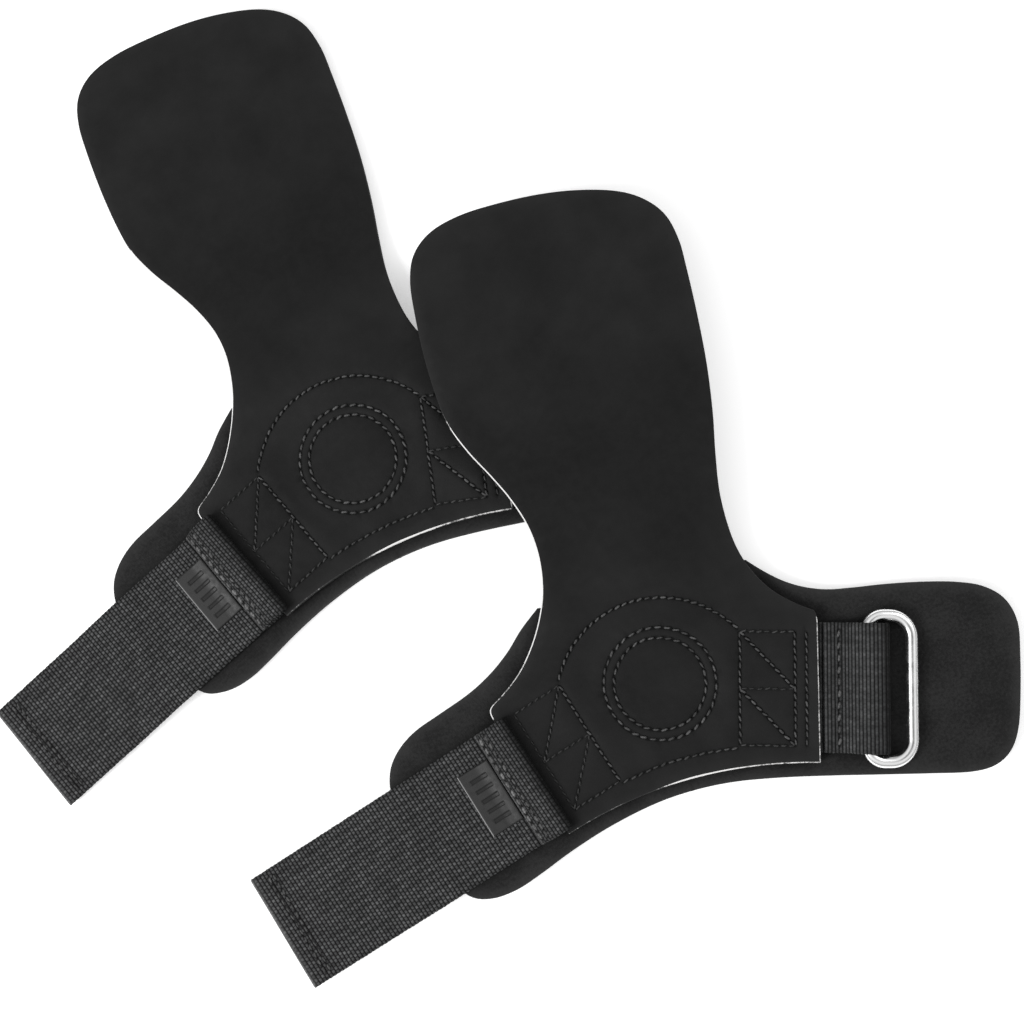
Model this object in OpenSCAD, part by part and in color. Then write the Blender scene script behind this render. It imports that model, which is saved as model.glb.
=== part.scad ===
// A pair of palm grips for bar work, lying one over the other as they are stored.
// Each grip is a neoprene wrist cuff with a leather flap sewn on it, a strap and a steel ring.
// Millimetres, +Z up. The origin is under the middle of the pair, on the surface it lies on.

/* [Layout] */
// Place of the front grip's stitched circle, from the pair's middle, along X
front_x = 52.14; // [45:0.01:60]
// Place of the front grip's stitched circle along Y
front_y = -59.45; // [-66:0.01:-54]
// Turn of the front grip, counter-clockwise from straight up
front_turn = 16.3; // [14:0.1:20]
// Place of the rear grip's stitched circle along X
rear_x = -40.97; // [-46:0.01:-38]
// Place of the rear grip's stitched circle along Y
rear_y = 8.36; // [4:0.01:12]
// Turn of the rear grip
rear_turn = 24.6; // [22:0.1:28]

/* [Cuff] */
// Thickness of the knitted skin on each side of the foam
skin_t = 0.6; // [0.4:0.1:0.9]
// Thickness of the whole cuff
cuff_t = 4; // [3:0.5:5]
// How far the two wrist lobes droop below straight sideways, in degrees
droop = 16.5; // [12:0.5:20]
// Distance from the stitched circle to the right lobe's fold line
right_fold = 48.5; // [48:0.5:50]
// Distance from the stitched circle to the left lobe's fold line
left_fold = 49.5; // [49:0.5:51]

/* [Flap] */
// Thickness of the leather
flap_t = 2.2; // [1.6:0.1:2.4]
// Line across the waist where the paddle folds, above the stitched circle
paddle_fold = 29.5; // [29:0.5:32]
// Length of the paddle beyond its fold line
paddle_len = 123; // [118:1:128]
// Radius of the pad under the stitched circles
pad_r = 13; // [10:1:16]

/* [Webbing and ring] */
// Width of the strap and of the ring's webbing
webbing_w = 38; // [34:1:38]
// Thickness of one layer of webbing
webbing_t = 1.3; // [1:0.1:1.5]
// Diameter of the ring's wire
wire_d = 3.5; // [3:0.1:3.5]
// Outside length of the ring, along its bars
ring_len = 46; // [46:0.5:48]
// Outside width of the ring, across its bars
ring_w = 16.6; // [15.5:0.1:17]
// How far the rear grip's ring is pulled out in its loop
rear_ring_out = 2.4; // [0:0.1:2.4]
// Where the strap's far end is, from the stitched circle
strap_end = 138.5; // [125:0.5:145]

/* [Hidden] */
GRIP_NODES = [
    "cuff_lining", "cuff_foam", "cuff_face",
    "left_lobe_lining", "left_lobe_foam", "left_lobe_face",
    "right_lobe_lining", "right_lobe_foam", "right_lobe_face",
    "flap", "paddle", "wrist_pad", "flap_stitching",
    "ring_anchor", "ring_loop", "ring_stitching", "ring",
    "strap_anchor", "strap_fold", "strap_stitching",
    "strap", "loop_patch", "hook_patch", "label"
];

gap = 0.3;                          // clear width between bodies at a fold line
hair = 0.02;                        // clearance where one body rests on another
under_flap = cuff_t;                // height where the webbing and the pad lie
flap_z = under_flap + webbing_t;    // underside of the leather
flap_top = flap_z + flap_t;
bar_clear = 0.1;                    // room round the ring's bar inside its loop
wire_r = wire_d / 2;
half_web = webbing_w / 2;
far = 300;                          // longer than the pair, for cutting planes
tall = 60;                          // taller than the pair

// ---- places along the right lobe, from the stitched circle ----
web_mid = -0.7;                     // middle line of the ring's webbing
anchor_start = 21;                  // sewn end of the webbing, under the flap
ring_outer = 74.9;                  // outside of the ring's outer bar
loop_end = 66.6;                    // outside of the webbing loop
seam_at = 52.1;                     // stitch row across the webbing
bar_at = ring_outer - ring_w + wire_r;
bar_z = flap_z + wire_r + bar_clear;
loop_r = wire_r + bar_clear + webbing_t;
ring_span = ring_w - wire_d;
rest_z = cuff_t + wire_r + hair;     // the outer bar lies on the lobe
ring_tilt = asin((bar_z - rest_z) / ring_span);
inner_corner = 5;                   // centre-line radii of the ring's corners
outer_corner = 6.5;

// ---- places along the left lobe ----
strap_mid = -2.4;
fold_nose = 44.3;                   // rounded end of the folded strap base
fold_end = 55.3;                    // end of the folded base, at the stitch rows
strap_start = fold_end + gap;
nose_r = webbing_t + gap;           // the rounded end bends round a slack layer
nose_z = flap_top + gap / 2 + nose_r;
toe_z = 7.4;                        // the folded layers are pressed down at the stitch rows
fold_slope = [[left_fold + 1.15, nose_z + nose_r - 0.4], [fold_end, toe_z]];
label_w = 11;
label_l = 20.7;
label_t = 0.9;
label_mid = -1.5;
patch_t = 1.1;
patch_w = webbing_w - 4;
loop_patch_at = [91, 112];
hook_patch_at = [strap_end - 21, strap_end - 1];

// ---- curves ----
// A point on the smooth curve through four points, at t from 0 to 1 between b and c
function between(a, b, c, d, t) =
    0.5 * (2 * b + (c - a) * t + (2 * a - 5 * b + 4 * c - d) * t * t
    + (3 * b - a - 3 * c + d) * t * t * t);
function at(p, i) = p[max(0, min(len(p) - 1, i))];
// An open smooth curve through every point of p
function smooth_open(p, steps) = concat(
    [for (i = [0 : len(p) - 2], k = [0 : steps - 1])
        between(at(p, i - 1), p[i], p[i + 1], at(p, i + 2), k / steps)],
    [p[len(p) - 1]]);
// Points of an arc round c
function arc(c, r, from, to, steps) =
    [for (k = [0 : steps]) c + r * [cos(from + (to - from) * k / steps),
                                    sin(from + (to - from) * k / steps)]];
function ease(t) = let (u = max(0, min(1, t))) u * u * (3 - 2 * u);
// Height at s on a line of [place, height] knots, eased from knot to knot
function height_at(knots, s, i = 0) =
    i >= len(knots) - 2 || s <= knots[i + 1][0]
        ? knots[i][1] + (knots[i + 1][1] - knots[i][1])
            * ease((s - knots[i][0]) / (knots[i + 1][0] - knots[i][0]))
        : height_at(knots, s, i + 1);
// The side view of a sheet that follows the knots: lift is the height of its underside above them
function sheet_side(knots, from, to, lift, t, steps) = concat(
    [for (k = [0 : steps]) let (s = from + (to - from) * k / steps)
        [s, height_at(knots, s) + lift]],
    [for (k = [steps : -1 : 0]) let (s = from + (to - from) * k / steps)
        [s, height_at(knots, s) + lift + t]]);

// ---- outlines, in the grip's own frame: origin at the stitched circle, +Y to the fingers ----
// The cuff, from where it comes out under the flap's right edge round to the left edge
CUFF_POINTS = [
    [34.4, 28.4], [38.2, 24], [43.2, 19.2], [48.6, 15.6], [55.1, 12.9], [63.1, 11.2],
    [72.1, 9.6], [82.2, 7.3], [91.2, 4.6], [98.3, 1.2], [103.1, -4.1], [104.5, -11.5],
    [102.3, -21], [99.1, -31.4], [95.8, -40.3], [91.8, -46.2], [86.2, -49.2], [79, -49.2],
    [68.3, -46.7], [55.2, -43.4], [40.2, -39.6], [25.2, -36.1], [12.1, -33.8], [0, -33.1],
    [-12.1, -33.9], [-26.2, -36.7], [-39.2, -40.6], [-50.2, -44.7], [-58.3, -47.3],
    [-65.9, -48], [-72.1, -46.2], [-75.9, -41.3], [-79.6, -31.9], [-83.4, -21.1],
    [-87.5, -11.4], [-86.4, -3.8], [-82.2, 1.9], [-75.6, 6.2], [-66.5, 9.3], [-56.4, 12.7],
    [-48.5, 16.6], [-41.6, 21.4], [-35.7, 26.8], [-28.8, 31.8]];
// Its upper edge is straight where the flap covers it
CUFF_TOP = [[-24, 30], [29, 28]];
// From the right cut edge's top corner, round the paddle, to the left cut edge's top corner
FLAP_POINTS = [
    [50.2, 7.6], [44.5, 12], [39.3, 17.5], [35.6, 24], [33.4, 31], [32.6, 39], [33, 49],
    [35.1, 60.1], [37.9, 72.1], [40.3, 86], [41.9, 101], [42.9, 115], [43.2, 124],
    [41.6, 132.4], [37, 139], [29.8, 144], [19, 147.9], [7, 150.4], [-6, 151.6],
    [-18.2, 151.6], [-28, 149.4], [-34.6, 144.3], [-37.9, 136.5], [-39.2, 126.2],
    [-39.9, 113], [-39.7, 100], [-38.5, 90.5], [-35.2, 81.5], [-30.6, 72.5], [-26.8, 64],
    [-24.2, 55], [-23.8, 46], [-25.7, 36.5], [-29, 28.7], [-33.5, 21.5], [-39.5, 14.7],
    [-46, 9.8], [-52, 6.5]];
drawn_len = 151.6 - paddle_fold;    // paddle length of the points above
function stretched(p) = [p[0], p[1] < paddle_fold ? p[1]
    : paddle_fold + (p[1] - paddle_fold) * paddle_len / drawn_len];
// The hem is one shallow arc between the lower corners
hem_r = 132;
hem_c = [0.5, -29.4 - hem_r];
hem_right = asin(37.8 / hem_r);
hem_left = asin(38.9 / hem_r);
FLAP_OUTLINE = concat(
    smooth_open([for (p = FLAP_POINTS) stretched(p)], 3),
    arc(hem_c, hem_r, 90 + hem_left, 90 - hem_right, 12));
CUFF_OUTLINE = concat(smooth_open(CUFF_POINTS, 3), CUFF_TOP);

// Undersides: the front paddle passes over the rear grip's ring, the rear one lies down
FRONT_PADDLE = [[paddle_fold, flap_z], [54, 10.7], [104, 10.7], [153, 8.2]];
REAR_PADDLE = [[paddle_fold, flap_z], [68, 1.8], [104, 0.5], [153, 0.5]];
STRAP_RUN = [[strap_start, 5], [61, cuff_t + gap], [87, cuff_t + gap], [112, 2.4],
             [strap_end, 1.4]];

// ---- frames ----
module on_front() { translate([front_x, front_y, 0]) rotate(front_turn) children(); }
module on_rear() { translate([rear_x, rear_y, 0]) rotate(rear_turn) children(); }
// X runs out along the lobe and Y across it
module right_frame() { rotate(-droop) children(); }
module left_frame() { mirror([1, 0, 0]) rotate(-droop) children(); }
// A side view in X and Z, drawn out along Y from y0 to y1
module across(points, y0, y1) {
    translate([0, y1, 0]) rotate([90, 0, 0]) linear_extrude(y1 - y0) polygon(points);
}
// A side view in Y and Z, drawn out along X
module along_y(points) {
    rotate([90, 0, 90]) translate([0, 0, -far / 2]) linear_extrude(far) polygon(points);
}
module beyond(x0) { translate([x0, -far / 2, -1]) cube([far, far, tall]); }

// ---- cuff ----
module cuff_plate(z, t) { translate([0, 0, z]) linear_extrude(t) polygon(CUFF_OUTLINE); }
module right_part(z, t) {
    intersection() {
        cuff_plate(z, t);
        right_frame() beyond(right_fold + gap / 2);
    }
}
module left_part(z, t) {
    intersection() {
        cuff_plate(z, t);
        left_frame() beyond(left_fold + gap / 2);
    }
}
module middle_part(z, t) {
    difference() {
        cuff_plate(z, t);
        right_frame() beyond(right_fold - gap / 2);
        left_frame() beyond(left_fold - gap / 2);
    }
}
foam_t = cuff_t - 2 * skin_t;
module cuff_lining() { color("#26282b") middle_part(0, skin_t); }
module cuff_foam() { color("#1b1b1c") middle_part(skin_t, foam_t); }
module cuff_face() { color("#2e3033") middle_part(cuff_t - skin_t, skin_t); }
module left_lobe_lining() { color("#26282b") left_part(0, skin_t); }
module left_lobe_foam() { color("#1b1b1c") left_part(skin_t, foam_t); }
module left_lobe_face() { color("#2e3033") left_part(cuff_t - skin_t, skin_t); }
module right_lobe_lining() { color("#26282b") right_part(0, skin_t); }
module right_lobe_foam() { color("#1b1b1c") right_part(skin_t, foam_t); }
module right_lobe_face() { color("#2e3033") right_part(cuff_t - skin_t, skin_t); }

// ---- flap ----
module flap() {
    color("#29292b")
    difference() {
        translate([0, 0, flap_z]) linear_extrude(flap_t) polygon(FLAP_OUTLINE);
        translate([-far / 2, paddle_fold - gap / 2, -1]) cube([far, far, tall]);
    }
}
module paddle(knots) {
    start = paddle_fold + gap / 2;
    color("#29292b")
    intersection() {
        linear_extrude(tall) polygon(FLAP_OUTLINE);
        along_y(sheet_side(knots, start, paddle_fold + paddle_len + 1, 0, flap_t, 24));
    }
}
module wrist_pad() {
    color("#1d1d1e") translate([0, 0, under_flap]) cylinder(h = webbing_t, r = pad_r, $fn = 64);
}

// ---- stitching on the flap: low rows that stand on the leather ----
outer_ring_r = 16.6;
inner_ring_r = 13.6;
row_w = 0.7;
row_t = 0.3;
hem_row_c = [0.5, -121.8];
hem_row_r = 98.8;
neck_row_c = [-1.1, -5.9];
neck_row_r = 31.4;
box_w = 16;
box_y = [-17.7, -1.2, 15.6];        // bottom, middle and top rows
right_box_at = 23.4;
left_box_at = 25.6;
right_extra_row = 42.7;
module row(a, b) {
    d = b - a;
    translate(a) rotate(atan2(d[1], d[0])) translate([0, -row_w / 2]) square([norm(d), row_w]);
}
module ring_row(r) {
    difference() {
        circle(r = r + row_w / 2, $fn = 64);
        circle(r = r - row_w / 2, $fn = 64);
    }
}
module curved_row(c, r, from, to, steps) {
    polygon(concat(arc(c, r + row_w / 2, from, to, steps), arc(c, r - row_w / 2, to, from, steps)));
}
// A stitched box, two halves high, with a slanting row across each half
module boxed_rows(x0) {
    x1 = x0 + box_w;
    for (x = [x0, x1]) row([x, box_y[0]], [x, box_y[2]]);
    for (y = box_y) row([x0 - row_w / 2, y], [x1 + row_w / 2, y]);
    row([x0, box_y[2]], [x1, box_y[1]]);
    row([x0, box_y[1]], [x1, box_y[0]]);
}
module flap_stitching() {
    color("#4c4c4f")
    translate([0, 0, flap_top])
    linear_extrude(row_t) {
        ring_row(outer_ring_r);
        ring_row(inner_ring_r);
        curved_row(neck_row_c, neck_row_r, 28.3, 151.7, 24);
        curved_row(hem_row_c, hem_row_r, 80.5, 99.5, 12);
        rotate(-droop) boxed_rows(right_box_at);
        rotate(-droop) row([right_extra_row, box_y[0]], [right_extra_row, box_y[2]]);
        mirror([1, 0]) rotate(-droop) boxed_rows(left_box_at);
    }
}

// ---- webbing, loop and ring on the right ----
module web_strip(x0, x1, mid) {
    translate([x0, mid - half_web, under_flap]) cube([x1 - x0, webbing_w, webbing_t]);
}
module ring_anchor() {
    color("#3a3b3d") right_frame() web_strip(anchor_start, right_fold - gap / 2, web_mid);
}
module slot_side(r, x0, x1, z) {
    across(concat(arc([x1, z], r, -90, 90, 12), arc([x0, z], r, 90, 270, 12)),
           web_mid - half_web - 1, web_mid + half_web + 1);
}
// The ring may lie anywhere in its loop: out is how far it is pulled from its slack place
doubled_z = under_flap + 2 * webbing_t;
module ring_loop(out) {
    start = right_fold + gap / 2;
    nose = loop_end - loop_r;
    outside = concat(
        [[start, under_flap]], arc([nose, bar_z], loop_r, -90, 90, 16),
        [[bar_at - 1, bar_z + loop_r], [seam_at + 2, doubled_z], [start, doubled_z]]);
    // The loop's edges open out for the ring's curved corners to swing
    straight = half_web - 3;
    narrow_r = wire_r + 0.15;
    wide_r = wire_r + 1.6;
    color("#3a3b3d")
    right_frame()
    difference() {
        across(outside, web_mid - half_web, web_mid + half_web);
        slot_side(wire_r + bar_clear, bar_at - 0.6, nose, bar_z);
        for (side = [-1, 1])
            translate([bar_at + out, web_mid + side * straight, bar_z]) rotate([side * -90, 0, 0])
            cylinder(h = half_web - straight + hair, r1 = narrow_r, r2 = wide_r, $fn = 48);
    }
}
// A sewn row across webbing, lying on the line that the two slope points give
row_h = 0.4;
function on_slope(line, s) =
    line[0][1] + (line[1][1] - line[0][1]) * (s - line[0][0]) / (line[1][0] - line[0][0]);
module sewn_row(line, s, w, mid) {
    ends = [s - w / 2, s + w / 2];
    across([for (e = ends) [e, on_slope(line, e)], for (e = [ends[1], ends[0]])
        [e, on_slope(line, e) + row_h]], mid - half_web + 1.5, mid + half_web - 1.5);
}
module ring_stitching() {
    flat = [[right_fold, doubled_z], [seam_at, doubled_z]];
    color("#55565a") right_frame() sewn_row(flat, seam_at, 1.6, web_mid);
}
// A bar of wire along Y
module bar(l) { rotate([90, 0, 0]) cylinder(h = l, r = wire_r, center = true, $fn = 32); }
module corner(r, from) {
    rotate(from) rotate_extrude(angle = 90, $fn = 48) translate([r, 0]) circle(r = wire_r, $fn = 32);
}
module ring(out) {
    half = ring_len / 2 - wire_r;
    arm = ring_span - inner_corner - outer_corner;
    color("#d9dadd")
    right_frame() translate([bar_at + out, web_mid, bar_z]) rotate([0, ring_tilt, 0]) {
        bar(2 * (half - inner_corner));
        translate([ring_span, 0, 0]) bar(2 * (half - outer_corner));
        for (side = [-1, 1])
            translate([inner_corner, side * half, 0])
            rotate([0, 90, 0]) cylinder(h = arm, r = wire_r, $fn = 32);
        translate([inner_corner, half - inner_corner, 0]) corner(inner_corner, 90);
        translate([inner_corner, inner_corner - half, 0]) corner(inner_corner, 180);
        translate([ring_span - outer_corner, half - outer_corner, 0]) corner(outer_corner, 0);
        translate([ring_span - outer_corner, outer_corner - half, 0]) corner(outer_corner, 270);
    }
}

// ---- strap on the left ----
module strap_anchor() {
    color("#3a3b3d") left_frame() web_strip(anchor_start + 2.5, left_fold - gap / 2, strap_mid);
}
// The strap's end comes out from under the flap and is folded back over the flap's edge
module strap_fold() {
    start = left_fold + gap / 2;
    side = concat(
        [[fold_end, under_flap], [start, under_flap], [start, nose_z - nose_r]],
        arc([fold_nose + nose_r, nose_z], nose_r, 270, 90, 12), fold_slope);
    color("#3a3b3d") left_frame() across(side, strap_mid - half_web, strap_mid + half_web);
}
module strap_stitching() {
    color("#55565a") left_frame() for (in = [1, 3.4])
        sewn_row(fold_slope, fold_end - in, 0.8, strap_mid);
}
// A layer on the strap: every layer takes its side view from the same run, so faces meet exactly
module strap_layer(from, to, lift, t, y0, y1) {
    intersection() {
        across(sheet_side(STRAP_RUN, strap_start, strap_end, lift, t, 24), y0, y1);
        difference() {
            beyond(from);
            beyond(to);
        }
    }
}
module patch(span) {
    strap_layer(span[0], span[1], -patch_t, patch_t, strap_mid - patch_w / 2, strap_mid + patch_w / 2);
}
module strap() {
    color("#3f4043") left_frame()
    across(sheet_side(STRAP_RUN, strap_start, strap_end, 0, webbing_t, 24),
           strap_mid - half_web, strap_mid + half_web);
}
module loop_patch() { color("#232325") left_frame() patch(loop_patch_at); }
module hook_patch() { color("#161617") left_frame() patch(hook_patch_at); }
module label() {
    start = strap_start + 0.2;
    color("#77787b") left_frame()
    strap_layer(start, start + label_w, webbing_t, label_t,
                label_mid - label_l / 2, label_mid + label_l / 2);
}

// Draws one piece of a grip; only the paddle and the ring lie differently on the two grips
module piece(name, paddle_run, ring_out) {
    if (name == "cuff_lining") cuff_lining();
    if (name == "cuff_foam") cuff_foam();
    if (name == "cuff_face") cuff_face();
    if (name == "left_lobe_lining") left_lobe_lining();
    if (name == "left_lobe_foam") left_lobe_foam();
    if (name == "left_lobe_face") left_lobe_face();
    if (name == "right_lobe_lining") right_lobe_lining();
    if (name == "right_lobe_foam") right_lobe_foam();
    if (name == "right_lobe_face") right_lobe_face();
    if (name == "flap") flap();
    if (name == "paddle") paddle(paddle_run);
    if (name == "wrist_pad") wrist_pad();
    if (name == "flap_stitching") flap_stitching();
    if (name == "ring_anchor") ring_anchor();
    if (name == "ring_loop") ring_loop(ring_out);
    if (name == "ring_stitching") ring_stitching();
    if (name == "ring") ring(ring_out);
    if (name == "strap_anchor") strap_anchor();
    if (name == "strap_fold") strap_fold();
    if (name == "strap_stitching") strap_stitching();
    if (name == "strap") strap();
    if (name == "loop_patch") loop_patch();
    if (name == "hook_patch") hook_patch();
    if (name == "label") label();
}

for (name = GRIP_NODES) {
    on_rear() piece(name, REAR_PADDLE, rear_ring_out);
    on_front() piece(name, FRONT_PADDLE, 0);
}
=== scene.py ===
"""The looks of a pair of hand grips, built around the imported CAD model.

Lengths in the making are millimetres in a grip's own frame: the origin is the middle of the
stitched circle, +Y runs to the fingers. Each lobe has a frame of its own, with s outwards
along the lobe and n across it.
"""
import math
import random

import bmesh
import bpy
import numpy as np
from mathutils import Matrix, Vector
from mathutils.geometry import delaunay_2d_cdt


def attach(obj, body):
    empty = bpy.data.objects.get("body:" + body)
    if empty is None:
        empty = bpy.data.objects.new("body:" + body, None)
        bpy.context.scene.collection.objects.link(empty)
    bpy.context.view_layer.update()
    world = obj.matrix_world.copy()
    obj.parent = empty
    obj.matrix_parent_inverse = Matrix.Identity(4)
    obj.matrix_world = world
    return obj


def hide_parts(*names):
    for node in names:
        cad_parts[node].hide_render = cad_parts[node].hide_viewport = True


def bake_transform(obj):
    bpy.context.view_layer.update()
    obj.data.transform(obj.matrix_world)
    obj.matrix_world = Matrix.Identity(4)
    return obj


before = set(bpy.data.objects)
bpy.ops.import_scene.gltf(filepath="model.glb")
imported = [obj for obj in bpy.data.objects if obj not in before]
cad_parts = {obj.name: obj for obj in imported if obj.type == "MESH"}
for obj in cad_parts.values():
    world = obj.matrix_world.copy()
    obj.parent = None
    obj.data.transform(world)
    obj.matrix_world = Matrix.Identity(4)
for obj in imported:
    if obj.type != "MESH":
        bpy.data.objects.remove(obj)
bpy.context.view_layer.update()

MM = 0.001
DROOP = math.radians(16.5)              # how far the lobes hang below the x axis
CUFF_T, SKIN_T, WEB_T, FLAP_T = 4.0, 0.6, 1.3, 2.2
FLAP_Z = CUFF_T + WEB_T
PADDLE_FOLD, PADDLE_LEN, PADDLE_CURL = 29.5, 123.0, 16
RIGHT_FOLD, LEFT_FOLD = 48.5, 49.5
RIGHT_BEND, LEFT_BEND = 57.0, 55.3      # where a folded lobe is straight again
STRAP_FOLD, STRAP_BEND = 55.45, 59.5
HALF_WEB = 19.0
LOOP_GAP = 0.1                          # between the ring's bar and the webbing round it
WEB_MID, STRAP_MID, LABEL_MID = -0.7, -2.4, -1.5
EDGE_LOOP = 1.45                        # pitch of the weave's loops along the webbing's edges
SEAM_AT, LOOP_END = 52.1, 66.6
RING_LEN, RING_W, WIRE_R = 46.0, 16.6, 1.75
INNER_CORNER, OUTER_CORNER = 5.0, 6.5
BAR_AT = 74.9 - RING_W + WIRE_R
BAR_Z = FLAP_Z + WIRE_R + LOOP_GAP
RING_TILT = math.asin((BAR_Z - CUFF_T - WIRE_R - 0.02) / (RING_W - 2 * WIRE_R))
FOLD_NOSE, FOLD_END, STRAP_START, STRAP_END = 44.3, 55.3, 55.4, 138.5

GRIPS = {
    "rear": dict(place=(-40.97, 8.36), turn=math.radians(24.6), ring_out=2.4, seed=11,
                 run=[(PADDLE_FOLD, FLAP_Z), (68, 1.8), (104, 0.5), (153, 0.5)]),
    "front": dict(place=(52.14, -59.45), turn=math.radians(16.3), ring_out=0.0, seed=5,
                  run=[(PADDLE_FOLD, FLAP_Z), (54, 10.7), (104, 10.7), (153, 8.2)]),
}
STRAP_RUN = [(55.6, 5.0), (61, 4.3), (87, 4.3), (112, 2.4), (STRAP_END, 1.4)]

CUFF_POINTS = [
    (34.4, 28.4), (38.2, 24), (43.2, 19.2), (48.6, 15.6), (55.1, 12.9), (63.1, 11.2),
    (72.1, 9.6), (82.2, 7.3), (91.2, 4.6), (98.3, 1.2), (103.1, -4.1), (104.5, -11.5),
    (102.3, -21), (99.1, -31.4), (95.8, -40.3), (91.8, -46.2), (86.2, -49.2), (79, -49.2),
    (68.3, -46.7), (55.2, -43.4), (40.2, -39.6), (25.2, -36.1), (12.1, -33.8), (0, -33.1),
    (-12.1, -33.9), (-26.2, -36.7), (-39.2, -40.6), (-50.2, -44.7), (-58.3, -47.3),
    (-65.9, -48), (-72.1, -46.2), (-75.9, -41.3), (-79.6, -31.9), (-83.4, -21.1),
    (-87.5, -11.4), (-86.4, -3.8), (-82.2, 1.9), (-75.6, 6.2), (-66.5, 9.3), (-56.4, 12.7),
    (-48.5, 16.6), (-41.6, 21.4), (-35.7, 26.8), (-28.8, 31.8)]
CUFF_TOP = [(-24, 30), (29, 28)]
FLAP_POINTS = [
    (50.2, 7.6), (44.5, 12), (39.3, 17.5), (35.6, 24), (33.4, 31), (32.6, 39), (33, 49),
    (35.1, 60.1), (37.9, 72.1), (40.3, 86), (41.9, 101), (42.9, 115), (43.2, 124),
    (41.6, 132.4), (37, 139), (29.8, 144), (19, 147.9), (7, 150.4), (-6, 151.6),
    (-18.2, 151.6), (-28, 149.4), (-34.6, 144.3), (-37.9, 136.5), (-39.2, 126.2),
    (-39.9, 113), (-39.7, 100), (-38.5, 90.5), (-35.2, 81.5), (-30.6, 72.5), (-26.8, 64),
    (-24.2, 55), (-23.8, 46), (-25.7, 36.5), (-29, 28.7), (-33.5, 21.5), (-39.5, 14.7),
    (-46, 9.8), (-52, 6.5)]
DRAWN_TOP = 151.6
HEM_C, HEM_R, HEM_LEFT, HEM_RIGHT = (0.5, -161.4), 132.0, 38.9, 37.8


# ---- curves and frames
def smooth(points, steps=10):
    """The open smooth curve through points, as the CAD draws it."""
    p = np.array(points, float)
    out = []
    for i in range(len(p) - 1):
        a, b, c, d = p[max(i - 1, 0)], p[i], p[i + 1], p[min(i + 2, len(p) - 1)]
        for k in range(steps):
            t = k / steps
            out.append(0.5 * (2 * b + (c - a) * t + (2 * a - 5 * b + 4 * c - d) * t * t
                              + (3 * b - a - 3 * c + d) * t ** 3))
    return np.array(out + [p[-1]])


def arc(centre, r, start, end, steps):
    """Points of an arc; start and end are in degrees."""
    a = np.radians(np.linspace(start, end, steps + 1))
    return np.stack([centre[0] + r * np.cos(a), centre[1] + r * np.sin(a)], 1)


def along(points):
    """The length along a polyline at each of its points."""
    return np.concatenate([[0], np.cumsum(np.linalg.norm(np.diff(points, axis=0), axis=1))])


def resample(points, step, closed=False):
    """Points at an even step along a polyline or round a closed ring."""
    p = np.vstack([points, points[:1]]) if closed else np.asarray(points, float)
    s = along(p)
    n = max(2, int(round(s[-1] / step)))
    at = np.linspace(0, s[-1], n + 1)
    if closed:
        at = at[:-1]
    return np.stack([np.interp(at, s, p[:, k]) for k in range(p.shape[1])], 1)


def normals(path):
    """The unit direction to the left of an open polyline at each of its points."""
    t = np.gradient(path, axis=0)
    return np.stack([-t[:, 1], t[:, 0]], 1) / np.linalg.norm(t, axis=1)[:, None]


def ease(t):
    """0 up to 0, 1 from 1 on, and a smooth rise between."""
    t = np.clip(t, 0, 1)
    return t * t * (3 - 2 * t)


def eased(knots, s):
    """Heights at s on a line of (place, height) knots."""
    s = np.asarray(s, float)
    out = np.full(s.shape, float(knots[0][1]))
    for (s0, h0), (s1, h1) in zip(knots, knots[1:]):
        out = np.where(s >= s0, h0 + (h1 - h0) * ease((s - s0) / (s1 - s0)), out)
    return out


def turn2(p, a):
    c, s = math.cos(a), math.sin(a)
    return np.stack([c * p[..., 0] - s * p[..., 1], s * p[..., 0] + c * p[..., 1]], -1)


def right(p):
    """(s, n) on the right lobe to the grip's own frame; further columns stay."""
    p = np.asarray(p, float)
    return np.concatenate([turn2(p[..., :2], -DROOP), p[..., 2:]], -1)


def left(p):
    """The same for the left lobe, which mirrors the right one."""
    p = right(p)
    p[..., 0] *= -1
    return p


def plain(p):
    return np.asarray(p, float)


MIDDLE = {left: STRAP_MID, right: WEB_MID}      # the n of the webbing's middle line


def upward(p):
    """(s, n) on the paddle, s towards the fingers, to the grip's own frame."""
    return np.asarray(p, float)[..., [1, 0, 2]]


def to_world(grip, p):
    """Grip millimetres to metres in the row frame."""
    p = np.asarray(p, float)
    g = GRIPS[grip]
    xy = turn2(p[..., :2], g["turn"]) + np.array(g["place"])
    return np.concatenate([xy, p[..., 2:]], -1) * MM


def rough_noise(x, y, size, seed):
    """A smooth, seeded field of waves between about -1 and 1."""
    r = random.Random(seed)
    out = 0
    for _ in range(6):
        turn = r.uniform(0, math.tau)
        pitch = r.uniform(0.6, 1.5) * math.tau / size
        phase = r.uniform(0, math.tau)
        out = out + np.sin((x * math.cos(turn) + y * math.sin(turn)) * pitch + phase)
    return out / 3.5


# ---- mesh making
def in_scene(name, data):
    obj = bpy.data.objects.new(name, data)
    bpy.context.scene.collection.objects.link(obj)
    return obj


def face_outwards(mesh):
    """Turns a closed mesh inside out if its volume is negative."""
    bm = bmesh.new()
    bm.from_mesh(mesh)
    if bm.calc_volume(signed=True) < 0:
        mesh.flip_normals()
    bm.free()


CHUNK = 400                             # points compared with all the others at a time
FLIPPED = [0, 3, 2, 1]                  # a quad's corners the other way round


def nearest(points, others):
    """How far the nearest of others is from each point, and which one it is."""
    out, which = np.zeros(len(points)), np.zeros(len(points), int)
    for i in range(0, len(points), CHUNK):
        d = points[i:i + CHUNK, None, :2] - others[None, :, :2]
        d = (d * d).sum(-1)
        which[i:i + CHUNK] = d.argmin(1)
        out[i:i + CHUNK] = np.sqrt(d.min(1))
    return out, which


def distance(points, others):
    return nearest(points, others)[0]


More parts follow.
